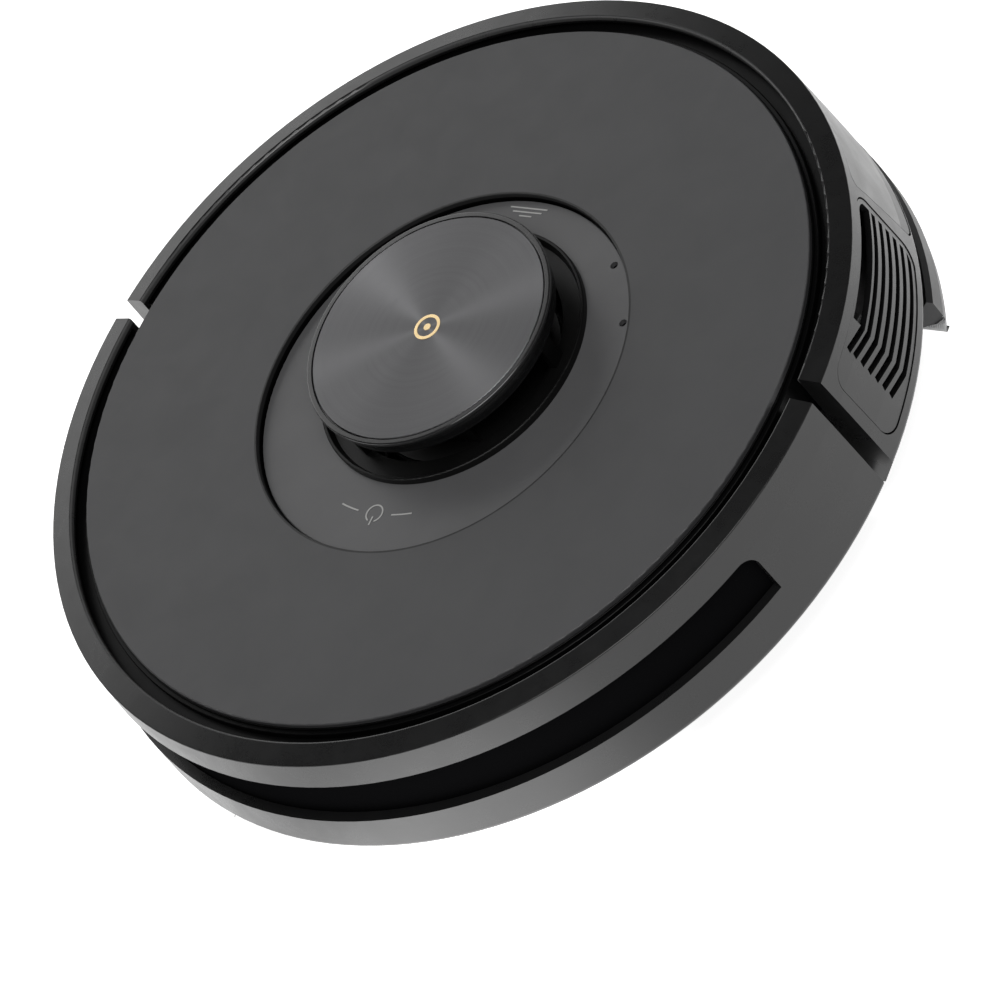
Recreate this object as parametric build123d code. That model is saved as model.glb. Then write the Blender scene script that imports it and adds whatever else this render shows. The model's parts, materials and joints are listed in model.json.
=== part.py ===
from build123d import *
from math import cos, radians, sin
import os

# Robot vacuum in millimetres. The origin is on the floor under the centre of the round body,
# +X points to the front, +Y to the robot's left and +Z up.

# Overall heights
BODY_R = 175.0            # widest radius of the bumper and the rear shell
FLOOR_Z = 9.5             # underside of the chassis above the floor
RIM_Z = 75.2              # outer top edge of the rim
PLATE_Z = 77.5            # top of the flat lid
TOTAL_Z = 94.5            # top of the turret

# Rim, groove and lid
RIM_R = 172.6
RIM_INNER_R = 163.1
LEDGE_R = 158.4
PLATE_R = 156.2
PLATE_HOLE_R = 80.4
PLATE_THICKNESS = 2.0
RING_R = 79.8
RING_Z = 73.9             # top of the recessed ring panel
RING_THICKNESS = 2.0
FRAME_Z = 71.6            # underside of the upper frame
GAP_FLOOR_R = 165.4       # the flange that closes the groove beside the bumper's rim
GAP_FLOOR_REAR_R = 167.4  # and its wider part behind, above the louvres
GAP_FLOOR_Z = 71.4        # top of that flange
GAP_FLOOR_THICKNESS = 1.2

# Side bands of the half shells
SHELL_WALL = 2.5
BAND_Z = 62.0             # lower edge of the upper band
WINDOW_LOW_Z = 39.7       # top of the lower band
SIDE_LOW_Z = 23.0         # where the side turns under
SKIRT_R = 161.8           # inner edge of the turned-in underside
WINDOW_R = 170.4          # outer face of the infrared window
BUMPER_END = 92.2         # degrees from the nose to the bumper's ends
REAR_START = 95.1         # degrees from the nose to the rear shell's ends
WINDOW_END = 73.1         # degrees from the nose to the window's ends
WINDOW_CORNER = 7.0       # radius of the recess's upper corners

# Body
WALL_R = 156.8            # outer face of the chassis wall
SPLIT_Z = 52.0            # parting line of the chassis wall and the upper frame's skirt

# Turret
TURRET_X = -8.2
COLLAR_R = 56.9
COLLAR_Z = 76.8
CAP_R = 52.6
CAP_LOW_Z = 85.6
DISC_R = 49.9
TURNTABLE_R = 40.0
PULLEY_R = 5.0
PULLEY_X = 53.8

# Drive
WHEEL_R = 33.0
WHEEL_Y = 113.0
WHEEL_WIDTH = 23.0
PIVOT_X = 48.0
PIVOT_Z = 30.0
PIVOT_R = 3.0
WELL_X = (-40.0, 66.0)
WELL_Y = (84.0, 130.0)
WELL_Z = 68.5
CASTER_X = 130.0
CASTER_R = 10.5

# Cleaning head
ROLLER_X = 10.0
ROLLER_Z = 22.0
ROLLER_R = 21.0
ROLLER_HALF = 76.0
CHAMBER_X = (-14.0, 34.0)
CHAMBER_HALF = 81.5
CHAMBER_Z = 46.0
SIDE_BRUSH_X = 103.0
SIDE_BRUSH_Y = -80.0
SIDE_BRUSH_REACH = 61.0
SIDE_BRUSH_TURN = 22.2    # degrees, keeps the three arms under the body at rest

# Rear module
BIN_X = (-158.0, -68.0)
BIN_HALF = 90.0
BIN_Z = (24.8, 60.0)
BIN_R = 168.5             # the module's rounded back, inside the rear face
BAY_HALF = 92.5
BAY_X = -65.0
OPENING_TOP = (71.0, 138.4)      # height and half width of the rear opening's top edge
OPENING_LOW = (24.2, 135.8)
SKIRT_OPENING = (133.0, 61.5)      # half width and height of the way through the inner skirt
FACE_GAP = 0.6
MOP_R = 175.3
MOP_START = 120.5         # degrees from the nose to the bracket's front tips
MOP_INNER_R = 150.0
MOP_FRONT_X = -85.5
MOP_Z = (5.3, 9.1)

# Louvres
VENT_MID = 111.4          # degrees from the nose to the middle of a louvre panel
VENT_HALF = 43.2          # half length along the wall
VENT_Z = (28.0, 69.5)
SLOT_HEIGHTS = (57.4, 52.2, 47.0, 41.8, 36.6, 31.4)
SLOT_WIDTH = 2.8
SLOT_START = 106.2        # degrees from the nose to the slots' bends
SLOT_END = 124.9
KINK_LENGTH = 14.5
KINK_RISE = 20.0          # degrees
MOUTH_Z = (60.2, 68.4)    # the tall slot above the others

# Fan
FAN_Y = 56.0
FAN_Z = 39.0
FAN_R = 25.0
FAN_X = (-62.0, -26.0)

LEVER = (134.6, 68.5)     # pivot of the left bump lever
FIT = 0.08                # radial clearance of a turning fit
BASE = (Align.CENTER, Align.CENTER, Align.MIN)


def block(x0, x1, y0, y1, z0, z1):
    """A box between two corners."""
    size = Box(x1 - x0, y1 - y0, z1 - z0)
    return Pos((x0 + x1) / 2, (y0 + y1) / 2, (z0 + z1) / 2) * size


def disc(radius, low, high, x=0.0, y=0.0):
    """An upright cylinder."""
    return Pos(x, y, low) * Cylinder(radius, high - low, align=BASE)


def tube(outer, inner, low, high, x=0.0, y=0.0):
    """An upright tube."""
    return disc(outer, low, high, x, y) - disc(inner, low, high, x, y)


def rod_y(radius, y0, y1, x, z):
    """A cylinder along Y."""
    bar = Cylinder(radius, y1 - y0)
    return Pos(x, (y0 + y1) / 2, z) * Rot(90, 0, 0) * bar


def rod_x(radius, x0, x1, y, z):
    """A cylinder along X."""
    bar = Cylinder(radius, x1 - x0)
    return Pos((x0 + x1) / 2, y, z) * Rot(0, 90, 0) * bar


def section(points, radii=None):
    """A closed radius-height outline with rounded corners where a radius is given."""
    corners = [(r, 0, z) for r, z in points]
    if radii is None:
        return make_face(Polyline(*corners, close=True))
    return make_face(FilletPolyline(*corners, radius=radii, close=True))


def turned(points, radii=None):
    """A full turn of an outline about Z."""
    return revolve(section(points, radii), axis=Axis.Z)


def swept(points, start, end, radii=None):
    """An outline turned about Z from one bearing to another, in degrees from the nose."""
    part = revolve(section(points, radii), axis=Axis.Z, revolution_arc=end - start)
    return Rot(0, 0, start) * part


def polar(radius, bearing):
    """The X and Y of a point at a bearing from the nose."""
    return radius * cos(radians(bearing)), radius * sin(radians(bearing))


def around(part, radius, bearing):
    """Moves a part built about the Z axis to a radius and a bearing."""
    return Rot(0, 0, bearing) * Pos(radius, 0, 0) * part


def mirrored(part):
    """The same part on the robot's other side."""
    return mirror(part, about=Plane.XZ)


def side_prism(half, low, high, corner, depth, bearing):
    """A rounded rectangle pushed outwards along a bearing, to cut or trim a side wall."""
    middle = (low + high) / 2
    face = RectangleRounded(2 * half, high - low, corner)
    bar = extrude(Plane.YZ * face, depth)
    return Rot(0, 0, bearing) * Pos(BODY_R - depth / 2, 0, middle) * bar


def rear_prism(inset):
    """The rear opening seen from behind: wider at the top, with rounded corners."""
    (top_z, top_y), (low_z, low_y) = OPENING_TOP, OPENING_LOW
    corners = [
        (-top_y + inset, top_z - inset),
        (top_y - inset, top_z - inset),
        (low_y - inset, low_z + inset),
        (-low_y + inset, low_z + inset),
    ]
    outline = make_face(FilletPolyline(*corners, radius=4.0, close=True))
    return Pos(-60, 0, 0) * extrude(Plane.YZ * outline, -140)


# ---------------------------------------------------------------- lid and upper frame

def top_plate():
    plate = turned([
        (PLATE_HOLE_R, PLATE_Z - PLATE_THICKNESS),
        (PLATE_R, PLATE_Z - PLATE_THICKNESS),
        (PLATE_R, PLATE_Z),
        (PLATE_HOLE_R, PLATE_Z),
    ], [0, 0, 0.5, 0.4])
    return plate


def top_shell():
    """The upper frame: a disc with a stepped ledge, a skirt and a seat for the ring panel."""
    ledge_z = PLATE_Z - 3.2
    frame = turned([
        (COLLAR_R + 4, FRAME_Z - 1.8),
        (PLATE_HOLE_R + 1.2, FRAME_Z - 1.8),
        (PLATE_HOLE_R + 1.2, FRAME_Z),
        (LEDGE_R - 2.4, FRAME_Z),
        (LEDGE_R - 2.4, SPLIT_Z + 0.1),
        (LEDGE_R, SPLIT_Z + 0.1),
        (LEDGE_R, ledge_z),
        (PLATE_R + 0.5, ledge_z),
        (PLATE_R + 0.5, PLATE_Z - PLATE_THICKNESS - 0.1),
        (PLATE_HOLE_R + 0.2, PLATE_Z - PLATE_THICKNESS - 0.1),
        (PLATE_HOLE_R + 0.2, FRAME_Z),
        (COLLAR_R + 4, FRAME_Z),
    ], [0, 0, 0, 0, 0, 0, 0.5, 0, 0.3, 0, 0, 0])
    board_room = swept([(62.5, 68), (77.5, 68), (77.5, 72), (62.5, 72)], -25, 25)
    collar_room = disc(COLLAR_R + 0.5, 60, PLATE_Z, TURRET_X)
    half, height = SKIRT_OPENING
    frame -= block(-180, -60, -half, half, SPLIT_Z - 2, height)
    frame -= board_room
    frame -= collar_room
    for start, end, edge in ((-90.6, 90.6, GAP_FLOOR_R), (97.0, 263.0, GAP_FLOOR_REAR_R)):
        frame += swept([
            (LEDGE_R - 1, GAP_FLOOR_Z - GAP_FLOOR_THICKNESS),
            (edge, GAP_FLOOR_Z - GAP_FLOOR_THICKNESS),
            (edge, GAP_FLOOR_Z),
            (LEDGE_R - 1, GAP_FLOOR_Z),
        ], start, end)
    return frame


def ring_panel():
    """The recessed panel around the turret, with two small pick-up holes near its edge."""
    panel = turned([
        (20, RING_Z - RING_THICKNESS),
        (RING_R, RING_Z - RING_THICKNESS),
        (RING_R, RING_Z),
        (20, RING_Z),
    ], [0, 0, 0.4, 0])
    panel -= disc(COLLAR_R - 1.2, RING_Z - 3, RING_Z + 1, TURRET_X)
    for bearing in (114.4, 137.0):
        panel -= around(disc(1.6, RING_Z - 3, RING_Z + 1), RING_R - 3.6, bearing)
    return panel


def key_mark(radius, bearing):
    """A broken ring with a short bar in the gap: the usual power symbol."""
    low, high = RING_Z + 0.02, RING_Z + 0.14
    symbol = tube(3.9, 3.3, low, high) - block(1.6, 5, -1.5, 1.5, low, high)
    bar = block(1.4, 5.2, -0.3, 0.3, low, high)
    return around(symbol, radius, bearing) + around(bar, radius, bearing)


def panel_marks():
    """Raised print: the power symbol, a dash on each side of it and three short bars behind."""
    low, high = RING_Z + 0.02, RING_Z + 0.14
    solids = list(key_mark(62.0, 0).solids())
    for start in (-16.0, 7.5):
        dash = swept([(61.9, low), (62.5, low), (62.5, high), (61.9, high)], start, start + 8.5)
        solids += dash.solids()
    for x, half in ((-76.4, 9.0), (-74.6, 7.0), (-72.8, 3.0)):
        solids += block(x - 0.3, x + 0.3, -1 - half, -1 + half, low, high).solids()
    return Compound(children=solids)


def touch_board():
    """The touch key and light board that hangs from the ring panel at the nose side."""
    return swept([(64, 70.1), (76, 70.1), (76, 71.5), (64, 71.5)], -24, 24)


# ---------------------------------------------------------------- turret

def turret_collar():
    """The fixed collar with the floor of the laser's slot and three posts for the cap."""
    ring = turned([
        (46.4, RING_Z - 9),
        (48.6, RING_Z - 9),
        (48.6, RING_Z - 2.4),
        (COLLAR_R - 1.6, RING_Z - 2.4),
        (COLLAR_R - 1.6, RING_Z + 0.1),
        (COLLAR_R, RING_Z + 0.1),
        (COLLAR_R, COLLAR_Z),
        (COLLAR_R - 1.3, COLLAR_Z),
        (COLLAR_R - 2.6, COLLAR_Z - 3.2),
        (46.4, COLLAR_Z - 3.2),
    ], [0, 0, 0, 0, 0, 0, 0.6, 0.3, 0, 0])
    collar = Pos(TURRET_X, 0, 0) * ring
    for bearing in (95, 215, 335):
        post = swept([(46.6, COLLAR_Z - 4), (49.4, COLLAR_Z - 4), (49.4, CAP_LOW_Z + 1.9), (46.6, CAP_LOW_Z + 1.9)],
                     bearing - 4, bearing + 4)
        collar += Pos(TURRET_X, 0, 0) * post
    return collar


def turret_cap():
    """The cap: a rounded crown with a thin groove round the inlay and a slightly drawn-in side."""
    crown = turned([
        (0, TOTAL_Z - 2.6),
        (47.8, TOTAL_Z - 2.6),
        (47.8, CAP_LOW_Z),
        (50.4, CAP_LOW_Z),
        (CAP_R - 0.4, TOTAL_Z - 2.6),
        (CAP_R, TOTAL_Z - 1.6),
        (CAP_R, TOTAL_Z - 0.2),
        (DISC_R + 0.35, TOTAL_Z - 0.2),
        (DISC_R + 0.35, TOTAL_Z - 1.1),
        (0, TOTAL_Z - 1.1),
    ], [0, 1.0, 0, 0.4, 0, 0.3, 0.7, 0.2, 0, 0])
    posts = None
    for bearing in (95, 215, 335):
        hole = swept([(46.4, CAP_LOW_Z - 1), (49.6, CAP_LOW_Z - 1), (49.6, CAP_LOW_Z + 2), (46.4, CAP_LOW_Z + 2)],
                     bearing - 4.3, bearing + 4.3)
        posts = hole if posts is None else posts + hole
    return Pos(TURRET_X, 0, 0) * (crown - posts)


def cap_disc():
    """The thin spun metal inlay on the cap."""
    return Pos(TURRET_X, 0, 0) * turned([
        (0, TOTAL_Z - 1.0),
        (DISC_R, TOTAL_Z - 1.0),
        (DISC_R, TOTAL_Z - 0.15),
        (0, TOTAL_Z - 0.15),
    ], [0, 0, 0.3, 0])


def cap_badge():
    """A plain ring with a dot in it, as a generic mark."""
    low, high = TOTAL_Z - 0.13, TOTAL_Z
    mark = tube(5.6, 4.3, low, high, TURRET_X)
    dot = disc(1.5, low, high, TURRET_X)
    return Compound(children=[mark, dot])


def lidar_base():
    """The laser unit's base plate, with a hollow spindle and an arm that carries its motor."""
    plate = disc(40, 54, 56.5, TURRET_X)
    plate += block(TURRET_X, PULLEY_X + 13, -11, 11, 54, 56.5)
    plate += disc(11, 56.5, 63.5, TURRET_X)
    plate -= disc(6, 53, 64, TURRET_X)
    plate -= disc(PULLEY_R + 1.2, 53, 57, PULLEY_X)
    return plate


def lidar_turntable():
    """The turning table with a belt groove in its edge."""
    table = turned([
        (11 + FIT, 57.2),
        (TURNTABLE_R, 57.2),
        (TURNTABLE_R, 58.4),
        (TURNTABLE_R - 2, 59.2),
        (TURNTABLE_R - 2, 61.8),
        (TURNTABLE_R, 62.6),
        (TURNTABLE_R, 63.8),
        (11 + FIT, 63.8),
    ])
    return Pos(TURRET_X, 0, 0) * table


def lidar_head():
    """The turning cover with two round ports, for the laser and its receiver."""
    cover = turned([
        (0, 88.6),
        (34.0, 88.6),
        (34.0, 64.0),
        (36.0, 64.0),
        (36.0, 90.6),
        (0, 90.6),
    ], [0, 0, 0, 0, 2.0, 0])
    cover -= block(29, 40, -23, 23, 63, 91)
    front = block(27, 29, -22.9, 22.9, 64.0, 88.7)
    for port_y, port_r in ((-10, 5), (9, 7)):
        front -= rod_x(port_r, 26, 30, port_y, 77)
    return Pos(TURRET_X, 0, 0) * (cover + front)


def lidar_lenses():
    """The laser's small lens and the receiver's larger one, each with a rounded front."""
    lenses = []
    for port_y, port_r in ((-10, 5), (9, 7)):
        lens = rod_x(port_r - 0.15, TURRET_X + 25.5, TURRET_X + 28.6, port_y, 77)
        lenses.append(fillet(lens.edges().group_by(Axis.X)[-1], 1.4))
    return Compound(children=lenses)


def lidar_motor():
    body = disc(10.5, 36.5, 53.8, PULLEY_X)
    shaft = disc(1.0, 53.8, 64.0, PULLEY_X)
    return body + shaft


def lidar_pulley():
    wheel = turned([
        (1.0 + FIT, 57.2),
        (PULLEY_R, 57.2),
        (PULLEY_R, 58.4),
        (PULLEY_R - 1.5, 59.0),
        (PULLEY_R - 1.5, 62.0),
        (PULLEY_R, 62.6),
        (PULLEY_R, 63.8),
        (1.0 + FIT, 63.8),
    ])
    return Pos(PULLEY_X, 0, 0) * wheel


def belt_outline(growth):
    """The belt's line round both pulleys, as the hull of two circles."""
    span = PULLEY_X - TURRET_X
    big = TURNTABLE_R - 2 + growth
    small = PULLEY_R - 1.5 + growth
    lean = (big - small) / span
    rise = (1 - lean * lean) ** 0.5
    tangents = [
        (TURRET_X + big * lean, big * rise),
        (PULLEY_X + small * lean, small * rise),
        (PULLEY_X + small * lean, -small * rise),
        (TURRET_X + big * lean, -big * rise),
    ]
    body = make_face(Polyline(*tangents, close=True))
    body += Pos(TURRET_X, 0) * Circle(big)
    body += Pos(PULLEY_X, 0) * Circle(small)
    return body


def lidar_belt():
    band = belt_outline(1.3) - belt_outline(0.3)
    return Pos(0, 0, 59.8) * extrude(band, 1.4)


# ---------------------------------------------------------------- half shells

def side_profile():
    """The wall of both half shells: rim cone, flat side and turned-in underside."""
    points = [
        (RIM_INNER_R, PLATE_Z - 0.1),
        (RIM_R, RIM_Z),
        (BODY_R - 1.6, BAND_Z),
        (BODY_R - 0.6, WINDOW_LOW_Z),
        (BODY_R, SIDE_LOW_Z),
        (SKIRT_R, FLOOR_Z + 0.5),
        (SKIRT_R, FLOOR_Z + 3.0),
        (BODY_R - SHELL_WALL - 0.6, SIDE_LOW_Z + 1.5),
        (BODY_R - SHELL_WALL - 2.0, RIM_Z - 3.0),
        (RIM_INNER_R, PLATE_Z - 4.0),
    ]
    return points, [0.9, 0.6, 0, 0, 2.5, 0.5, 0.5, 1.5, 0.5, 0.3]


def window_cut():
    """The window recess: a band with upright ends whose upper corners are round."""
    band = swept([
        (WINDOW_R - 1, WINDOW_LOW_Z),
        (BODY_R + 4, WINDOW_LOW_Z),
        (BODY_R + 4, BAND_Z),
        (WINDOW_R - 1, BAND_Z),
    ], -WINDOW_END, WINDOW_END)
    straight = band.edges().filter_by(GeomType.LINE)
    upper = straight.filter_by(lambda edge: abs(edge.center().Z - BAND_Z) < 0.1)
    return fillet(upper, WINDOW_CORNER)


def end_wall(bearing, thickness):
    """A radial wall that closes a half shell's end; positive thickness goes rearwards."""
    angle = thickness / BODY_R * 57.3
    start, end = sorted((bearing, bearing + angle))
    return swept([
        (RIM_INNER_R + 0.1, PLATE_Z - 2.4),
        (RIM_R - 0.5, RIM_Z - 1.0),
        (BODY_R - 2.4, BAND_Z),
        (BODY_R - 1.0, SIDE_LOW_Z + 0.6),
        (SKIRT_R + 0.5, FLOOR_Z + 1.6),
        (SKIRT_R + 0.5, SPLIT_Z),
        (RIM_INNER_R + 0.1, SPLIT_Z + 3),
    ], start, end)


def bumper_shell():
    """The front half shell with the window's recess and the two nubs that press the levers."""
    points, radii = side_profile()
    shell = swept(points, -BUMPER_END, BUMPER_END, radii)
    frame = swept([
        (WINDOW_R - 0.2, WINDOW_LOW_Z - 2.4),
        (BODY_R - 2, WINDOW_LOW_Z - 2.4),
        (BODY_R - 3, BAND_Z + 2.4),
        (WINDOW_R - 0.2, BAND_Z + 2.4),
    ], -WINDOW_END - 6.5, WINDOW_END + 6.5)
    shell += frame
    shell -= window_cut()
    for side in (-1, 1):
        shell += end_wall(side * BUMPER_END, -side * 2.2)
        nub = block(136.5, 150, 80, 85, 28.5, 33.5)
        shell += nub if side > 0 else mirrored(nub)
    return shell


def bumper_window():
    """The dark infrared window, held against the inside of the recess."""
    half = WINDOW_END + 6.0
    return swept([
        (WINDOW_R - 2.6, WINDOW_LOW_Z - 2.2),
        (WINDOW_R - 0.4, WINDOW_LOW_Z - 2.2),
        (WINDOW_R - 0.4, BAND_Z + 2.2),
        (WINDOW_R - 2.6, BAND_Z + 2.2),
    ], -half, half, [0.3, 0.3, 0.3, 0.3])


def vent_prism(grow):
    """The outline of a louvre panel, pushed outwards through the side wall."""
    low, high = VENT_Z
    return side_prism(VENT_HALF + grow, low - grow, high + grow, 8.0, 40, VENT_MID)


def rear_shell():
    """The rear half shell with the openings for the bin and both louvre panels."""
    points, radii = side_profile()
    shell = swept(points, REAR_START, 360 - REAR_START, radii)
    shell += swept([
        (WALL_R + 0.6, FLOOR_Z + 0.5),
        (SKIRT_R + 2.5, FLOOR_Z + 0.5),
        (SKIRT_R + 2.5, FLOOR_Z + 3.0),
        (WALL_R + 0.6, FLOOR_Z + 3.0),
    ], REAR_START, 360 - REAR_START)
    for side in (-1, 1):
        shell += end_wall(side * REAR_START, side * 2.2)
    for bearing in (REAR_START + 3.2, 360 - REAR_START - 3.2):
        shell += swept([
            (LEDGE_R + 0.1, 64.5),
            (BODY_R - 3, 64.5),
            (BODY_R - 3, 69.2),
            (LEDGE_R + 0.1, 69.2),
        ], bearing - 1.5, bearing + 1.5)
    shell -= rear_prism(0.0)
    cut = vent_prism(0.5) & tube(BODY_R + 5, BODY_R - 6, 20, 71)
    shell -= cut
    shell -= mirrored(cut)
    return shell


def left_vent():
    """A louvre panel: a tall slot over six long ones, all rising at their front ends."""
    wall = turned([
        (BODY_R - 3.4, 20),
        (BODY_R - 0.3, 20),
        (BODY_R - 0.9, WINDOW_LOW_Z),
        (BODY_R - 1.9, BAND_Z),
        (BODY_R - 2.6, 72),
        (BODY_R - 5.4, 72),
        (BODY_R - 4.4, BAND_Z),
    ])
    panel = wall & vent_prism(0.0)
    slots = [(height - SLOT_WIDTH / 2, height + SLOT_WIDTH / 2) for height in SLOT_HEIGHTS]
    field = vent_prism(-1.4)
    for low, high in [MOUTH_Z] + slots:
        span = swept([(160, low), (180, low), (180, high), (160, high)], SLOT_START, SLOT_END)
        kink = Pos(0, -KINK_LENGTH / 2 + 0.4, 0) * Box(20, KINK_LENGTH, SLOT_WIDTH)
        kink = Pos(BODY_R - 3, 0, low + SLOT_WIDTH / 2) * Rot(-KINK_RISE, 0, 0) * kink
        panel -= (span + Rot(0, 0, SLOT_START) * kink) & field
    return panel


# ---------------------------------------------------------------- chassis

def wheel_well(grow):
    """The box that a wheel and its arm swing in."""
    return block(WELL_X[0] - grow, WELL_X[1] + grow, WELL_Y[0] - grow, WELL_Y[1] + grow,
                 FLOOR_Z - 1, WELL_Z + grow)


def chassis_walls():
    """The rooms that stand on the underbody's floor."""
    room = disc(WALL_R, FLOOR_Z, FLOOR_Z + 2.5)
    room += turned([
        (WALL_R - 2.6, FLOOR_Z),
        (WALL_R, FLOOR_Z),
        (WALL_R, SPLIT_Z),
        (WALL_R - 2.6, SPLIT_Z),
    ], [0, 1.0, 0, 0])
    wells = wheel_well(2.0) - Pos(0, 0, -50) * Box(600, 600, 2 * (50 + FLOOR_Z))
    room += wells
    room += mirrored(wells)
    room += block(CHAMBER_X[0] - 2, CHAMBER_X[1] + 2, -CHAMBER_HALF - 2, CHAMBER_HALF + 2,
                  FLOOR_Z, CHAMBER_Z + 2)
    room += block(67, 109, -46, 46, FLOOR_Z, 36)
    room += disc(21.5, FLOOR_Z, 31, CASTER_X)
    room += disc(6.5, 31, 42, CASTER_X)
    bay = block(-159.5, BAY_X + 2, -BAY_HALF - 2, BAY_HALF + 2, FLOOR_Z, 63.5)
    room += bay & disc(LEDGE_R - 2.6, FLOOR_Z, 64)
    room += disc(16, FLOOR_Z, 24, SIDE_BRUSH_X, SIDE_BRUSH_Y)
    post = disc(3.4, FLOOR_Z, 27.8, *LEVER) + disc(1.2, 27.8, 35.5, *LEVER)
    room += post
    room += mirrored(post)
    return room


def chassis():
    """The underbody: floor, outer wall, wheel wells, brush chamber, battery room and bin bay."""
    body = chassis_walls()
    body -= wheel_well(0.0)
    body -= mirrored(wheel_well(0.0))
    body -= block(CHAMBER_X[0], CHAMBER_X[1], -CHAMBER_HALF, CHAMBER_HALF, FLOOR_Z - 1, CHAMBER_Z)
    body -= block(CHAMBER_X[0] - 3, CHAMBER_X[0] + 1, -38, 18, 24, 43)
    body -= block(ROLLER_X - 12, ROLLER_X + 12, 80, 84.1, ROLLER_Z - 12, ROLLER_Z + 12)
    body -= block(69, 107, -44, 44, FLOOR_Z + 2, 34)
    body -= block(66, 110, -47, 47, FLOOR_Z - 1, FLOOR_Z + 2.1)
    body -= disc(18.6, FLOOR_Z - 1, 29, CASTER_X)
    body -= disc(3.0 + FIT, 28, 43, CASTER_X)
    body -= block(-200, BAY_X, -BAY_HALF, BAY_HALF, 22.5, 61.5)
    body -= block(-200, -146, -135, 135, 22.5, 61.5) & rear_prism(-0.5)
    body -= block(BAY_X - 1, BAY_X + 3, -38, 18, 26, 43)
    body -= block(BAY_X - 1, BAY_X + 3, FAN_Y - 14, FAN_Y + 14, FAN_Z - 14, FAN_Z + 14)
    body -= disc(13.5, FLOOR_Z - 1, 22, SIDE_BRUSH_X, SIDE_BRUSH_Y)
    body -= disc(4.2, 21, 25, SIDE_BRUSH_X, SIDE_BRUSH_Y)
    for low_y, high_y in ((71.5, 90), (-90, -71.5)):
        body -= block(124, 160, low_y, high_y, 26.5, 35.5)
    body -= block(-62.2, -43.8, 135, 160, 29.8, 48.2)
    for side in (-1, 1):
        y0, y1 = sorted((side * 81, side * 85))
        body -= rod_y(PIVOT_R, y0, y1, PIVOT_X, PIVOT_Z)
    for x, y in cliff_places():
        body -= disc(4.6, FLOOR_Z - 1, FLOOR_Z + 3, x, y)
    for x, y in contact_places():
        body -= block(x - 5, x + 5, y - 10, y + 10, FLOOR_Z - 1, FLOOR_Z + 1)
    for x, y in screw_places():
        body -= disc(3.4, FLOOR_Z - 1, FLOOR_Z + 1.6, x, y)
        body -= disc(1.5, FLOOR_Z, FLOOR_Z + 4, x, y)
    for x in (-120.0, -100.0):
        for y in (-60.0, 60.0):
            body -= block(x - 8, x + 8, y - 4, y + 4, FLOOR_Z - 1, FLOOR_Z + 1.5)
    return body


def cliff_places():
    return [polar(146, bearing) for bearing in (-24, 24, -64, 64)]


def contact_places():
    return [(130, -36), (130, 36)]


def screw_places():
    front = [(88, 76), (88, -52), (58, 62), (58, -62)]
    rear = [(-50, 104), (-50, -104), (-74, 118), (-74, -118)]
    return front + rear


def cliff_sensors():
    """Four dark sensor windows set in the underbody."""
    lenses = [disc(4.5, FLOOR_Z + 0.4, FLOOR_Z + 2.4, x, y) for x, y in cliff_places()]
    return Compound(children=lenses)


def charge_contacts():
    """Two plated strips on the underside of the nose."""
    strips = []
    for x, y in contact_places():
        strip = block(x - 4.8, x + 4.8, y - 9.8, y + 9.8, FLOOR_Z - 0.3, FLOOR_Z + 0.95)
        strips.append(fillet(strip.edges().group_by(Axis.Z)[0], 0.25))
    return Compound(children=strips)


def fasteners():
    """The underbody's cross-head screws, and the two pins that the wheel arms swing on."""
    pin = rod_y(PIVOT_R, 82.0, 95.5, PIVOT_X, PIVOT_Z)
    pieces = [pin, mirrored(pin)]
    for x, y in screw_places():
        head = disc(3.0, FLOOR_Z + 0.2, FLOOR_Z + 1.55, x, y)
        shank = disc(1.45, FLOOR_Z + 1.5, FLOOR_Z + 3.9, x, y)
        slot = block(x - 1.9, x + 1.9, y - 0.3, y + 0.3, FLOOR_Z, FLOOR_Z + 0.9)
        cross = block(x - 0.3, x + 0.3, y - 1.9, y + 1.9, FLOOR_Z, FLOOR_Z + 0.9)
        pieces.append(head + shank - slot - cross)
    return Compound(children=pieces)


# ---------------------------------------------------------------- drive

def wheel_arm():
    """The gearbox arm from the pivot to the wheel's axle, with the axle stub."""
    hull = make_hull((Pos(PIVOT_X, PIVOT_Z) * Circle(13)).edges() + (Pos(0, WHEEL_R) * Circle(16)).edges())
    bar = extrude(Plane.XZ * hull, -11)
    arm = Pos(0, 86.5, 0) * bar
    arm = fillet(arm.edges().group_by(Axis.Y)[0], 1.5)
    arm += rod_y(2.5, 97, 122.5, 0, WHEEL_R)
    arm -= rod_y(PIVOT_R + FIT, 85, 96, PIVOT_X, PIVOT_Z)
    return arm


def wheel_motor():
    """The drive motor, coaxial with the arm's pivot."""
    can = rod_y(11, 97.6, 124, PIVOT_X, PIVOT_Z)
    can = chamfer(can.edges().group_by(Axis.Y)[-1], 1.0)
    return can + rod_y(4, 124, 126.5, PIVOT_X, PIVOT_Z)


def wheel_hub():
    """The wheel's plastic centre, with a dished outer face and five windows."""
    low, high = WHEEL_Y - WHEEL_WIDTH / 2, WHEEL_Y + WHEEL_WIDTH / 2
    hub = rod_y(WHEEL_R - 6, low + 1, high - 1, 0, WHEEL_R)
    hub -= rod_y(WHEEL_R - 9, high - 5, high, 0, WHEEL_R)
    hub += rod_y(7, high - 6, high - 1.5, 0, WHEEL_R)
    hub -= rod_y(2.5 + FIT, low, 123, 0, WHEEL_R)
    for index in range(5):
        angle = radians(72 * index + 18)
        hole = rod_y(4.5, low, high, 15.5 * cos(angle), WHEEL_R + 15.5 * sin(angle))
        hub -= hole
    return hub


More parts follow.
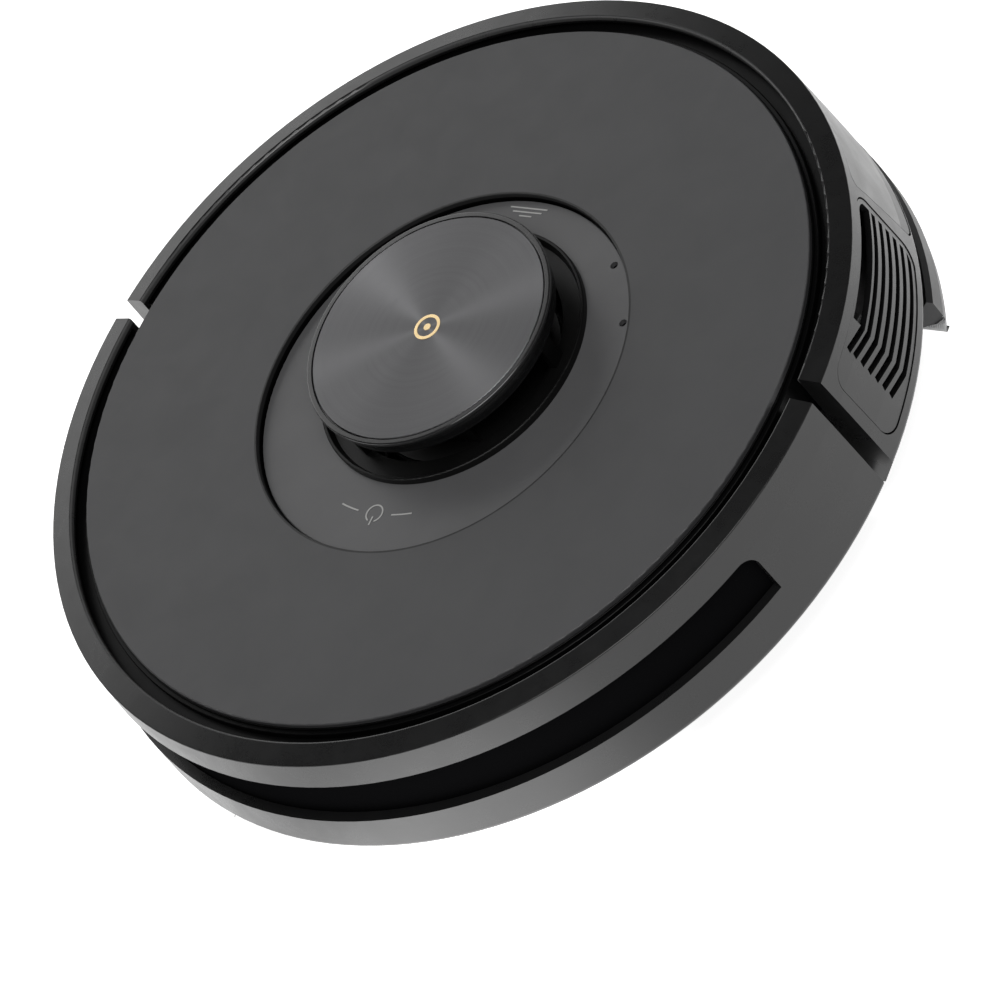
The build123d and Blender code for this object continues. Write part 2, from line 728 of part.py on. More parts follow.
def tyre():
    """The soft tread with bevelled cleats."""
    low, high = WHEEL_Y - WHEEL_WIDTH / 2, WHEEL_Y + WHEEL_WIDTH / 2
    ring = rod_y(WHEEL_R, low, high, 0, WHEEL_R)
    ring = fillet(ring.edges(), 2.0)
    ring -= rod_y(WHEEL_R - 6, low - 1, high + 1, 0, WHEEL_R)
    for index in range(24):
        angle = 15 * index + 7.5
        for side in (-1, 1):
            cut = Pos(0, side * 6.6, WHEEL_R) * Rot(0, 0, side * 24) * Box(3.2, 13, 4.4)
            cut = Pos(0, WHEEL_Y, WHEEL_R) * Rot(0, angle, 0) * cut
            ring -= cut
    return ring


def caster_fork():
    """The turning dome of the front caster, with its upright pin."""
    dome = turned([
        (0, 9.0),
        (17.6, 9.0),
        (17.6, 26.5),
        (0, 26.5),
    ], [0, 1.6, 2.5, 0])
    dome += disc(3.0, 26.5, 41)
    dome -= block(-5.5 - 11.6, -5.5 + 11.6, -7.2, 7.2, 8, 22.6)
    dome -= rod_y(1.5 + 0.02, -14, 14, -5.5, CASTER_R)
    return Pos(CASTER_X, 0, 0) * dome


def caster_axle():
    return Pos(CASTER_X, 0, 0) * rod_y(1.5, -13.5, 13.5, -5.5, CASTER_R)


def caster_wheel():
    wheel = rod_y(CASTER_R, -6.8, 6.8, -5.5, CASTER_R)
    wheel = fillet(wheel.edges(), 2.0)
    wheel -= rod_y(1.5 + FIT, -7, 7, -5.5, CASTER_R)
    return Pos(CASTER_X, 0, 0) * wheel


# ---------------------------------------------------------------- brushes

def brush_roller():
    """The roller's core with a square drive end and a round bearing end."""
    core = rod_y(9.0, -ROLLER_HALF, ROLLER_HALF, ROLLER_X, ROLLER_Z)
    for side in (-1, 1):
        edge = side * (ROLLER_HALF - 1.5)
        low, high = sorted((edge, edge + side * 1.5))
        core += rod_y(13, low, high, ROLLER_X, ROLLER_Z)
    core += rod_y(3.0, -ROLLER_HALF - 4.5, -ROLLER_HALF, ROLLER_X, ROLLER_Z)
    core += block(ROLLER_X - 3, ROLLER_X + 3, ROLLER_HALF, ROLLER_HALF + 3.6, ROLLER_Z - 3, ROLLER_Z + 3)
    return core


def brush_strip(turn, height, width, sweep_angle):
    """One strip that winds round the roller, as twisted lengths from the ends to the middle."""
    half = ROLLER_HALF - 2.5
    foot = 8.6
    strips = []
    for side in (-1, 1):
        sections = []
        for step in range(5):
            along = side * half * step / 4
            angle = turn + sweep_angle * step / 4
            plane = Plane(origin=(ROLLER_X, along, ROLLER_Z), x_dir=(1, 0, 0), z_dir=(0, 1, 0))
            face = plane * Rot(0, 0, angle) * Pos((foot + height) / 2, 0) * Rectangle(height - foot, width)
            sections.append(face)
        strips.append(loft(sections))
    return strips[0] + strips[1]


def brush_bristles():
    """Three rubber blades and three bristle rows that meet in a shallow V at the middle."""
    core = rod_y(9.05, -ROLLER_HALF - 1, ROLLER_HALF + 1, ROLLER_X, ROLLER_Z)
    pieces = []
    for index in range(6):
        height = ROLLER_R - 1.0 if index % 2 else ROLLER_R
        width = 1.8 if index % 2 else 3.4
        strip = brush_strip(60 * index, height, width, 48)
        pieces += (strip - core).solids()
    return Compound(children=pieces)


def brush_bearing():
    """The end cap that carries the roller's round end."""
    cap = block(ROLLER_X - 9, ROLLER_X + 9, -CHAMBER_HALF + 0.1, -CHAMBER_HALF + 3.9, ROLLER_Z - 9, ROLLER_Z + 9)
    cap = fillet(cap.edges().filter_by(Axis.Y), 3.0)
    return cap - rod_y(3.0 + FIT, -90, -70, ROLLER_X, ROLLER_Z)


def brush_motor():
    """The roller's motor above its gearbox, beside the wheel well."""
    gearbox = block(36.5, 62, 60, 80, 14, 34)
    can = rod_y(9, 22, 60, 47, 24)
    return gearbox + can


def brush_guard():
    """The frame that holds the roller in, with ribs across its mouth and two latches."""
    low, high = FLOOR_Z - 2.2, FLOOR_Z - 0.2
    frame = block(CHAMBER_X[0] - 9, CHAMBER_X[1] + 9, -CHAMBER_HALF - 0.5, CHAMBER_HALF + 0.5, low, high)
    frame = fillet(frame.edges().filter_by(Axis.Z), 7.0)
    mouth = block(CHAMBER_X[0] + 1.5, CHAMBER_X[1] - 1.5, -CHAMBER_HALF + 2.5, CHAMBER_HALF - 2.5, low - 1, high + 1)
    frame -= mouth
    for x in (CHAMBER_X[0] - 6.5, CHAMBER_X[1] + 4.5):
        for y in (-48, 48):
            frame += block(x, x + 2, y - 9, y + 9, low - 1.6, low + 0.5)
    return frame


def side_brush_spot(part):
    return Pos(SIDE_BRUSH_X, SIDE_BRUSH_Y, 0) * part


def side_brush_hub():
    """The hub and its three soft arms."""
    hub = turned([(0, 3.4), (9, 3.4), (11.5, 5.2), (11.5, 8.4), (0, 8.4)], [0, 1.0, 1.0, 0.4, 0])
    hub += disc(4.0, 8.4, 22)
    for index in range(3):
        arm = block(8, 27, -2.6, 2.6, 4.4, 7.4)
        arm = fillet(arm.edges().filter_by(Axis.X), 0.9)
        hub += Rot(0, 0, SIDE_BRUSH_TURN + 120 * index) * arm
    return side_brush_spot(hub)


def side_brush_bristles():
    """Three fans of bristles, each a slim wedge that droops to just over the floor."""
    tufts = []
    for index in range(3):
        tuft = loft([
            Plane(origin=(27.1, 0, 5.9), z_dir=(1, 0, -0.06), x_dir=(0, 1, 0)) * Rectangle(4.6, 2.6),
            Plane(origin=(SIDE_BRUSH_REACH - 1, 0, 2.6), z_dir=(1, 0, -0.1), x_dir=(0, 1, 0)) * Rectangle(13, 2.2),
        ])
        tuft = side_brush_spot(Rot(0, 0, SIDE_BRUSH_TURN + 120 * index) * tuft)
        tufts += tuft.solids()
    return Compound(children=tufts)


def side_brush_motor():
    body = disc(13.0, 24.2, 44, SIDE_BRUSH_X, SIDE_BRUSH_Y)
    ears = block(SIDE_BRUSH_X - 17, SIDE_BRUSH_X + 17, SIDE_BRUSH_Y - 5, SIDE_BRUSH_Y + 5, 24.2, 26.5)
    return body + ears - disc(4.2, 24, 30, SIDE_BRUSH_X, SIDE_BRUSH_Y)


# ---------------------------------------------------------------- air path

def duct(x0, x1, y0, y1, z0, z1, wall, along):
    """A square tube along X or Y."""
    outer = block(x0, x1, y0, y1, z0, z1)
    if along == "x":
        return outer - block(x0 - 1, x1 + 1, y0 + wall, y1 - wall, z0 + wall, z1 - wall)
    return outer - block(x0 + wall, x1 - wall, y0 - 1, y1 + 1, z0 + wall, z1 - wall)


def air_ducts():
    """The suction duct back to the bin, and the exhaust duct out to the left louvres."""
    suction = duct(BAY_X + 2.1, CHAMBER_X[0] - 2.1, -40, 20, 22, 45, 1.8, "x")
    exhaust = duct(-62, -44, FAN_Y + FAN_R + 1.8, 150, 30, 48, 1.6, "y")
    return Compound(children=[suction, exhaust])


def fan_housing():
    """A drum with an inlet towards the bin and an outlet on its left side."""
    drum = rod_x(FAN_R, FAN_X[0], FAN_X[1], FAN_Y, FAN_Z)
    drum += block(-62, -44, FAN_Y, FAN_Y + FAN_R + 1.5, 30, 48)
    drum -= rod_x(FAN_R - 2, FAN_X[0] + 2, FAN_X[1] - 2, FAN_Y, FAN_Z)
    drum -= rod_x(12, FAN_X[0] - 1, FAN_X[0] + 3, FAN_Y, FAN_Z)
    drum -= block(-60.4, -45.6, FAN_Y + 12, FAN_Y + FAN_R + 3, 31.6, 46.4)
    return drum


def fan_impeller():
    """A backplate with nine curved blades."""
    wheel = rod_x(20, -47.5, -46, FAN_Y, FAN_Z)
    wheel += rod_x(6, -58, -46, FAN_Y, FAN_Z)
    blade = Pos(-52, 0, 13) * Box(9.6, 1.0, 13.5)
    for index in range(9):
        turn = Pos(0, FAN_Y, FAN_Z) * Rot(40 * index, 0, 0)
        wheel += turn * Pos(0, 3, 0) * blade
    return wheel - rod_x(1.5 + FIT, -60, -45, FAN_Y, FAN_Z)


def fan_motor():
    can = rod_x(14, -45, -28.1, FAN_Y, FAN_Z)
    return can + rod_x(1.5, -57, -45, FAN_Y, FAN_Z)


# ---------------------------------------------------------------- rear module

def bin_body():
    """The dust chamber, open at the top, with an inlet, a filter opening and the tank's floor."""
    x0, x1 = BIN_X
    z0, z1 = BIN_Z
    shell = block(x0, x1, -BIN_HALF, BIN_HALF, z0, z1 - 2)
    shell = fillet(shell.edges().filter_by(Axis.Z), 4.0) & disc(BIN_R, z0 - 1, z1 + 1)
    rooms = block(-118, x1 - 2, -BIN_HALF + 2, BIN_HALF - 2, z0 + 2, z1)
    rooms += block(x0 + 2, -120, -BIN_HALF + 2, BIN_HALF - 2, z0 + 2, z1)
    shell -= rooms & disc(BIN_R - 2, z0, z1 + 1)
    shell -= block(x1 - 3, x1 + 1, -36, 16, 28, 41)
    shell -= block(x1 - 3, x1 + 1, 34, 78, 30, 52)
    shell -= block(x0 - 1, x0 + 3, -13, 13, 44, 56)
    return shell


def bin_lid():
    """The clear lid of the dust chamber and the tank."""
    x0, x1 = BIN_X
    lid = block(x0, x1, -BIN_HALF, BIN_HALF, BIN_Z[1] - 1.9, BIN_Z[1])
    return fillet(lid.edges().filter_by(Axis.Z), 4.0) & disc(BIN_R, 0, 100)


def bin_filter():
    """The pleated filter in its frame, inside the chamber's fan side."""
    x = BIN_X[1] - 2.2
    frame = block(x - 9, x, 34, 78, 30, 52) - block(x - 10, x + 1, 37, 75, 33, 49)
    for index in range(9):
        y = 38.2 + 4.2 * index
        frame += block(x - 8.5, x - 1, y, y + 1.4, 32.5, 49.5)
    return frame


def bin_face():
    """The curved rear face, light grey on the outside, joined to the bin by two walls."""
    outer = BODY_R - 0.1
    skin = turned([
        (outer - 2.6, 20),
        (outer, 20),
        (outer - 0.6, WINDOW_LOW_Z),
        (outer - 1.6, BAND_Z),
        (outer - 2.3, 72),
        (outer - 4.9, 72),
        (outer - 4.2, BAND_Z),
    ])
    face = skin & rear_prism(FACE_GAP)
    walls = block(-171, BIN_X[0], -70, -66, BIN_Z[0] + 3, BIN_Z[1] - 4)
    walls += mirrored(walls)
    face += walls & disc(outer - 1.0, 20, 64)
    face -= rod_x(9.4, -180, -165, 0, 50)
    return face


def bin_latch():
    """The release key in the rear face, with a stem to its hook."""
    key = rod_x(9.0, -174.4, -170, 0, 50) & disc(BODY_R - 0.9, 30, 64)
    key += rod_x(4, -170, -162, 0, 50)
    return key


def rear_disc(radius, front_x, low, high):
    """A flat half-moon: the part of a disc behind a straight front edge."""
    return disc(radius, low, high) & block(-radius - 5, front_x, -200, 200, low - 1, high + 1)


def mop_plate():
    """The bracket: a half-moon plate and a rim that wraps round the tail's underside."""
    low, high = MOP_Z
    plate = swept([
        (MOP_INNER_R, low),
        (MOP_R - 2.4, low),
        (MOP_R, low + 2.4),
        (MOP_R, 15.6),
        (MOP_R - 1.9, 17.4),
        (163.4, high),
        (MOP_INNER_R, high),
    ], MOP_START, 360 - MOP_START)
    front_x = MOP_INNER_R * cos(radians(MOP_START))
    plate += rear_disc(MOP_INNER_R, front_x, low, high)
    for x in (-120.0, -100.0):
        for y in (-60.0, 60.0):
            plate += block(x - 5, x + 5, y - 3, y + 3, high - 0.5, FLOOR_Z - 0.2)
    return plate


def mop_cloth():
    """The microfibre pad under the bracket."""
    return rear_disc(MOP_R - 1.4, MOP_FRONT_X - 0.4, 0.0, 5.1)


# ---------------------------------------------------------------- electrics

def circuit_boards():
    """The main board with its larger chips and connectors, and the small touch key board."""
    board = block(70, 146, -48, 48, 58.4, 60) & disc(150, 50, 70)
    for x, y, half in ((96, 0, 9), (118, 20, 6), (84, -30, 5)):
        board += block(x - half, x + half, y - half, y + half, 60, 61.6)
    for index in range(6):
        y = -40 + 15 * index
        board += block(136, 142, y - 4, y + 4, 60, 64)
    return Compound(children=[board, touch_board()])


def battery_pack():
    """Two long rows of round cells in one shrink sleeve, with the lead's plug on top."""
    pack = block(79, 97, -42, 42, 12.2, 30.2)
    for x in (79, 97):
        pack += rod_y(9, -42, 42, x, 21.2)
    return pack + block(84, 92, 20, 34, 30.2, 33)


def battery_door():
    """The screwed cover under the battery."""
    door = block(66.4, 109.6, -46.6, 46.6, FLOOR_Z - 0.1, FLOOR_Z + 1.95)
    door = fillet(door.edges().group_by(Axis.Z)[0], 0.4)
    for index in range(7):
        y = -24 + 8 * index
        door -= block(76, 100, y - 1, y + 1, FLOOR_Z - 1, FLOOR_Z + 0.5)
    return door


def bump_switches():
    """The two small switches behind the bumper."""
    switch = block(118, 128, 70, 84, 27.5, 33.5)
    switch += block(128, 129.3, 76, 79, 29.5, 32.5)
    return Compound(children=[switch, mirrored(switch)])


def bump_lever():
    """The bent lever between the bumper's nub and its switch."""
    pivot_x, pivot_y = LEVER
    lever = disc(2.6, 28.2, 33.8, pivot_x, pivot_y)
    lever += block(pivot_x - 1.2, pivot_x + 1.2, pivot_y, pivot_y + 16.5, 28.6, 33.4)
    return lever - disc(1.2 + FIT, 27, 35, pivot_x, pivot_y)


def save(name, shape):
    """Writes one node's file."""
    export_step(shape, f"parts/{name}.step")


def main():
    os.makedirs("parts", exist_ok=True)
    nodes = {
        "top_plate": top_plate(),
        "top_shell": top_shell(),
        "ring_panel": ring_panel(),
        "panel_marks": panel_marks(),
        "turret_collar": turret_collar(),
        "turret_cap": turret_cap(),
        "cap_disc": cap_disc(),
        "cap_badge": cap_badge(),
        "lidar_base": lidar_base(),
        "lidar_turntable": lidar_turntable(),
        "lidar_head": lidar_head(),
        "lidar_lenses": lidar_lenses(),
        "lidar_motor": lidar_motor(),
        "lidar_pulley": lidar_pulley(),
        "lidar_belt": lidar_belt(),
        "bumper_shell": bumper_shell(),
        "bumper_window": bumper_window(),
        "rear_shell": rear_shell(),
        "left_vent": left_vent(),
        "right_vent": mirrored(left_vent()),
        "chassis": chassis(),
        "cliff_sensors": cliff_sensors(),
        "charge_contacts": charge_contacts(),
        "fasteners": fasteners(),
        "caster_fork": caster_fork(),
        "caster_axle": caster_axle(),
        "caster_wheel": caster_wheel(),
        "brush_roller": brush_roller(),
        "brush_bristles": brush_bristles(),
        "brush_bearing": brush_bearing(),
        "brush_motor": brush_motor(),
        "brush_guard": brush_guard(),
        "side_brush_hub": side_brush_hub(),
        "side_brush_bristles": side_brush_bristles(),
        "side_brush_motor": side_brush_motor(),
        "air_ducts": air_ducts(),
        "fan_housing": fan_housing(),
        "fan_impeller": fan_impeller(),
        "fan_motor": fan_motor(),
        "bin_body": bin_body(),
        "bin_lid": bin_lid(),
        "bin_filter": bin_filter(),
        "bin_face": bin_face(),
        "bin_latch": bin_latch(),
        "mop_plate": mop_plate(),
        "mop_cloth": mop_cloth(),
        "circuit_boards": circuit_boards(),
        "battery_pack": battery_pack(),
        "battery_door": battery_door(),
        "bump_switches": bump_switches(),
        "left_bump_lever": bump_lever(),
        "right_bump_lever": mirrored(bump_lever()),
    }
    for name, shape in nodes.items():
        save(name, shape)
    for name, make in (
        ("wheel_arm", wheel_arm),
        ("wheel_motor", wheel_motor),
        ("wheel_hub", wheel_hub),
        ("tyre", tyre),
    ):
        shape = make()
        save(f"left_{name}", shape)
        save(f"right_{name}", mirrored(shape))


main()
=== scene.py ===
"""Robot vacuum: finishes, bristles, mop pad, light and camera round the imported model."""

import json
import math
import random

import bmesh
import bpy
from mathutils import Matrix, Vector


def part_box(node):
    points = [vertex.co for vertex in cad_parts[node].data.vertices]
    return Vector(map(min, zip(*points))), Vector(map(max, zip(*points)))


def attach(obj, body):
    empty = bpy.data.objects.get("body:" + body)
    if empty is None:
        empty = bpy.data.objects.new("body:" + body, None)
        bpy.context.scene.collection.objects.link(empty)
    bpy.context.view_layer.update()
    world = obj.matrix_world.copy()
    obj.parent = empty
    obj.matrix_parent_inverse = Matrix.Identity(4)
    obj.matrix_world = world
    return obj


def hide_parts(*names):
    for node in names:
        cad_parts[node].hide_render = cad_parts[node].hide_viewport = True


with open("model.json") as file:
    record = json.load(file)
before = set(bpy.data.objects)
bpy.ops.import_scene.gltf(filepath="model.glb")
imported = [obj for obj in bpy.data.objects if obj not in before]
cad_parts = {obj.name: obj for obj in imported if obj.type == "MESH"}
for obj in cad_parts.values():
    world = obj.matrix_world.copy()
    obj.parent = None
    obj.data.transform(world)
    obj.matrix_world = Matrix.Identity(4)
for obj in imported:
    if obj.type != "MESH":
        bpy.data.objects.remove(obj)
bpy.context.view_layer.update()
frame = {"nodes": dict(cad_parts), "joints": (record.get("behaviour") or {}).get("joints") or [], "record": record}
NODES = frame["nodes"]
MM = 0.001


# ---------------------------------------------------------------- camera and light boxes

CAMERA_TARGET = Vector((0.0347, 0.0286, 0.047))
CAMERA_AZIMUTH, CAMERA_ELEVATION, CAMERA_ROLL = 60.504, 42.276, -42.229
CAMERA_DISTANCE = 3.034
CAMERA_LENS, CAMERA_SENSOR = 293.3, 36.0    # mm
LIGHT_AIM_Z = 0.05


def direction(azimuth, elevation):
    """The unit vector towards a compass bearing from X and a height above the floor, in degrees."""
    a, e = math.radians(azimuth), math.radians(elevation)
    return Vector((math.cos(a) * math.cos(e), math.sin(a) * math.cos(e), math.sin(e)))


def make_camera():
    """A long lens that looks down at the robot's left front, rolled so that its front points down left."""
    away = direction(CAMERA_AZIMUTH, CAMERA_ELEVATION)
    level = Vector((0.0, 0.0, 1.0)).cross(away).normalized()
    roll = Matrix.Rotation(math.radians(CAMERA_ROLL), 3, away)
    right = roll @ level
    up = away.cross(right)
    data = bpy.data.cameras.new("camera")
    data.lens = CAMERA_LENS
    data.sensor_width = CAMERA_SENSOR
    data.clip_end = 50.0
    camera = bpy.data.objects.new("camera", data)
    turn = Matrix((right, up, away)).transposed().to_4x4()
    camera.matrix_world = Matrix.Translation(CAMERA_TARGET + away * CAMERA_DISTANCE) @ turn
    bpy.context.collection.objects.link(camera)
    bpy.context.scene.camera = camera


def area_light(name, azimuth, elevation, distance, size, radiance, tint=(1.0, 1.0, 1.0)):
    """A soft box of size (width, height) in metres, aimed at the robot, as bright as radiance says."""
    data = bpy.data.lights.new(name, "AREA")
    data.shape = "RECTANGLE"
    data.size, data.size_y = size
    data.energy = radiance * math.pi * size[0] * size[1]
    data.color = tint
    light = bpy.data.objects.new(name, data)
    away = direction(azimuth, elevation)
    light.location = away * distance + Vector((0.0, 0.0, LIGHT_AIM_Z))
    light.rotation_euler = away.to_track_quat("Z", "Y").to_euler()
    bpy.context.collection.objects.link(light)
    return light


# ---------------------------------------------------------------- material graphs

class Graph:
    """A material's node tree, with the few node patterns that the finishes share."""

    def __init__(self, name, color, roughness, metallic=0.0, **shader):
        self.mat = bpy.data.materials.new(name)
        self.mat.use_nodes = True
        self.mat.diffuse_color = (*color, 1.0)
        self.tree = self.mat.node_tree
        self.shader = self.tree.nodes["Principled BSDF"]
        self.set("Base Color", (*color, 1.0))
        self.set("Roughness", roughness)
        self.set("Metallic", metallic)
        for key, value in shader.items():
            self.set(key.replace("_", " "), value)
        self.color, self.roughness = color, roughness
        self.place = self.node("ShaderNodeTexCoord").outputs["Object"]
        self.normal = None

    def set(self, socket, value):
        if hasattr(value, "is_linked"):
            self.tree.links.new(value, self.shader.inputs[socket])
        else:
            self.shader.inputs[socket].default_value = value

    def node(self, kind, inputs=(), **props):
        """A node with its properties and the inputs that are given, as values or as other nodes' outputs."""
        made = self.tree.nodes.new(kind)
        for key, value in props.items():
            setattr(made, key, value)
        for key, value in dict(inputs).items():
            if hasattr(value, "is_linked"):
                self.tree.links.new(value, made.inputs[key])
            else:
                made.inputs[key].default_value = value
        return made

    def math(self, operation, a, b=0.0, c=0.0):
        return self.node("ShaderNodeMath", {0: a, 1: b, 2: c}, operation=operation).outputs[0]

    def vector(self, operation, a, b=(0.0, 0.0, 0.0)):
        made = self.node("ShaderNodeVectorMath", {0: a, 1: b}, operation=operation)
        gives_number = operation in ("LENGTH", "DOT_PRODUCT", "DISTANCE")
        return made.outputs["Value" if gives_number else "Vector"]

    def moved(self, offset=(0.0, 0.0, 0.0), scale=(1.0, 1.0, 1.0), turn=(0.0, 0.0, 0.0)):
        """Object coordinates, moved, turned and scaled."""
        made = self.node("ShaderNodeMapping", {0: self.place, 1: offset, 2: turn, 3: scale})
        return made.outputs[0]

    def noise(self, size, detail=3.0, rough=0.55, where=None, distortion=0.0):
        """Cloudy noise from 0 to 1 whose patches are about size metres across."""
        inputs = {"Vector": where or self.place, "Scale": 1.0 / size, "Detail": detail, "Roughness": rough,
                  "Distortion": distortion}
        return self.node("ShaderNodeTexNoise", inputs).outputs[0]

    def cells(self, size, where=None, feature="F1", spread=1.0):
        inputs = {"Vector": where or self.place, "Scale": 1.0 / size, "Randomness": spread}
        return self.node("ShaderNodeTexVoronoi", inputs, feature=feature).outputs["Distance"]

    def wave(self, size, where=None, direction="X", kind="BANDS", distortion=0.0, profile="SIN"):
        """Stripes of the given width in metres."""
        inputs = {"Vector": where or self.place, "Scale": 0.314159 / size, "Distortion": distortion}
        props = {"wave_type": kind, "wave_profile": profile}
        props["bands_direction" if kind == "BANDS" else "rings_direction"] = direction
        return self.node("ShaderNodeTexWave", inputs, **props).outputs["Fac"]

    def span(self, value, low, high, to_low=0.0, to_high=1.0, smooth=True):
        """value between low and high, as a number between to_low and to_high."""
        inputs = {"Value": value, "From Min": low, "From Max": high, "To Min": to_low, "To Max": to_high}
        kind = "SMOOTHSTEP" if smooth else "LINEAR"
        return self.node("ShaderNodeMapRange", inputs, interpolation_type=kind).outputs[0]

    def blend(self, share, a, b, how="MIX"):
        """Two colours mixed by share."""
        made = self.node("ShaderNodeMix", {0: share}, data_type="RGBA", blend_type=how)
        for index, value in ((6, a), (7, b)):
            if hasattr(value, "is_linked"):
                self.tree.links.new(value, made.inputs[index])
            else:
                made.inputs[index].default_value = (*value, 1.0)
        return made.outputs[2]

    def bump(self, height, depth, strength=1.0):
        """Raise the surface by height times depth metres, on top of the bumps before."""
        inputs = {"Height": height, "Distance": depth, "Strength": strength}
        if self.normal is not None:
            inputs["Normal"] = self.normal
        self.normal = self.node("ShaderNodeBump", inputs).outputs[0]
        self.set("Normal", self.normal)

    def axis(self, name):
        return self.node("ShaderNodeSeparateXYZ", {0: self.place}).outputs[name]

    def tinted(self, share, factor):
        """The base colour, with its patches factor times as light where share is 1."""
        other = tuple(min(1.0, channel * factor) for channel in self.color)
        return self.blend(share, self.color, other)


def moulded(name, color, roughness, grain=0.35 * MM, depth=0.012 * MM, cloud=1.12, smudge=0.05, **shader):
    """Moulded plastic: eroded fine grain, faint flow clouds in its colour, and smudges in its gloss."""
    g = Graph(name, color, roughness, **shader)
    clouds = g.noise(28 * MM, 4.0, 0.6)
    fine = g.noise(grain, 2.0, 0.6)
    base = g.tinted(g.span(clouds, 0.35, 0.7), cloud)
    worn = tuple(c * 1.5 + 0.004 for c in color)
    g.set("Base Color", g.blend(g.span(fine, 0.55, 0.8, 0.0, 0.18), base, worn))
    smudges = g.noise(16 * MM, 5.0, 0.62, distortion=0.6)
    g.set("Roughness", g.span(g.math("ADD", g.math("MULTIPLY", smudges, 0.7), g.math("MULTIPLY", fine, 0.3)),
                              0.3, 0.7, roughness - smudge, roughness + smudge))
    g.bump(fine, depth)
    return g


def polished(name, color, roughness, dust=0.05, **shader):
    """Polished plastic: hairline wipe marks, faint orange peel and specks of dust."""
    g = Graph(name, color, roughness, **shader)
    marks = g.noise(5 * MM, 3.0, 0.5, where=g.moved(scale=(1.0, 1.0, 9.0)))
    peel = g.noise(6 * MM, 1.0, 0.4)
    specks = g.span(g.cells(3.1 * MM), 0.0, 0.06, 1.0, 0.0)
    g.set("Base Color", g.blend(g.math("MULTIPLY", specks, dust), color, (0.35, 0.35, 0.34)))
    g.set("Roughness", g.span(marks, 0.35, 0.7, roughness, roughness + 0.07))
    g.bump(peel, 0.012 * MM)
    return g


def metal(name, color, roughness, along=(1.0, 1.0, 30.0), streak=0.5 * MM, **shader):
    """Rolled or drawn metal: fine streaks one way, small pits and dull patches."""
    g = Graph(name, color, roughness, metallic=1.0, **shader)
    streaks = g.noise(streak * 12, 3.0, 0.6, where=g.moved(scale=along))
    dull = g.noise(9 * MM, 4.0, 0.6)
    g.set("Base Color", g.blend(g.span(dull, 0.4, 0.75, 0.0, 0.6), color, tuple(c * 0.72 for c in color)))
    g.set("Roughness", g.span(g.math("ADD", g.math("MULTIPLY", streaks, 0.6), g.math("MULTIPLY", dull, 0.4)),
                              0.35, 0.68, roughness - 0.06, roughness + 0.1))
    g.bump(streaks, 0.01 * MM)
    return g


# Bearings, in degrees, of the painted highlight sectors across the spun disc.
SPUN_HIGHLIGHT_BEARINGS = (62.0, 120.0)


def spun(name, color, roughness, centre):
    """Spun metal: rings turned about centre, and painted highlights: lighter narrow sectors along fixed bearings.
    """
    g = Graph(name, color, roughness, metallic=1.0, Anisotropic=0.75)
    flat = g.moved(offset=(-centre[0], -centre[1], 0.0), scale=(1.0, 1.0, 0.0))
    radius = g.vector("LENGTH", flat)
    rings = g.noise(0.22 * MM, 2.0, 0.7, where=g.node("ShaderNodeCombineXYZ", {0: radius}).outputs[0])
    wide = g.noise(2.4 * MM, 2.0, 0.6, where=g.node("ShaderNodeCombineXYZ", {0: radius, 1: 0.3}).outputs[0])
    share = g.math("ADD", g.math("MULTIPLY", rings, 0.65), g.math("MULTIPLY", wide, 0.35))
    turned = g.blend(g.span(share, 0.3, 0.7), tuple(c * 0.86 for c in color), tuple(c * 1.12 for c in color))
    # Painted highlight: the colour is lightened in narrow sectors, in place of the spun finish's sheen.
    bearing = g.vector("NORMALIZE", flat)
    painted_highlights = 0.0
    for degrees in SPUN_HIGHLIGHT_BEARINGS:
        axis = (math.cos(math.radians(degrees)), math.sin(math.radians(degrees)), 0.0)
        highlight_beam = g.math("POWER", g.math("ABSOLUTE", g.vector("DOT_PRODUCT", bearing, axis)), 40.0)
        painted_highlights = g.math("ADD", highlight_beam, painted_highlights)
    g.set("Base Color", g.blend(painted_highlights, turned, tuple(c * 1.32 for c in color)))
    g.set("Roughness", g.span(share, 0.3, 0.7, roughness - 0.05, roughness + 0.05))
    g.bump(rings, 0.006 * MM)
    tangent = g.node("ShaderNodeTangent", direction_type="RADIAL", axis="Z")
    g.set("Tangent", tangent.outputs[0])
    return g


def rubber(name, color, roughness, **shader):
    """Rubber: matt skin with a dry bloom and fine pores."""
    g = Graph(name, color, roughness, **shader)
    bloom = g.noise(7 * MM, 5.0, 0.65)
    pores = g.noise(0.5 * MM, 3.0, 0.7)
    dry = tuple(c * 1.9 + 0.01 for c in color)
    g.set("Base Color", g.blend(g.span(bloom, 0.45, 0.8, 0.0, 0.5), color, dry))
    g.set("Roughness", g.span(pores, 0.3, 0.7, roughness - 0.08, roughness + 0.08))
    g.bump(pores, 0.03 * MM)
    return g


# ---------------------------------------------------------------- the finishes

CAP_CENTRE = tuple((a + b) / 2 for a, b in zip(*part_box("cap_disc")))
LID_HOLE_R = 80.4 * MM
FACE_SPLIT_Z = 33.0 * MM
RIM_EDGE_R = 163.1 * MM
RIM_EDGE_Z = 74.8 * MM


def lid_satin():
    """The lid's satin paint, with a painted shadow: a thin dark line just outside the panel's hole."""
    g = moulded("lid_satin", (0.060, 0.060, 0.062), 0.48, grain=0.3 * MM, depth=0.006 * MM, cloud=1.05)
    flat = g.moved(scale=(1.0, 1.0, 0.0))
    radius = g.vector("LENGTH", flat)
    # Painted shadow: the lid's colour is darkened in a ring about a millimetre wide round the hole, where the
    # recess edge is shaded.
    painted_shadow_line = g.span(radius, LID_HOLE_R + 0.8 * MM, LID_HOLE_R + 1.1 * MM, 1.0, 0.0)
    before = g.shader.inputs["Base Color"].links[0].from_socket
    g.set("Base Color", g.blend(g.math("MULTIPLY", painted_shadow_line, 0.9), before, (0.008, 0.008, 0.008)))
    return g


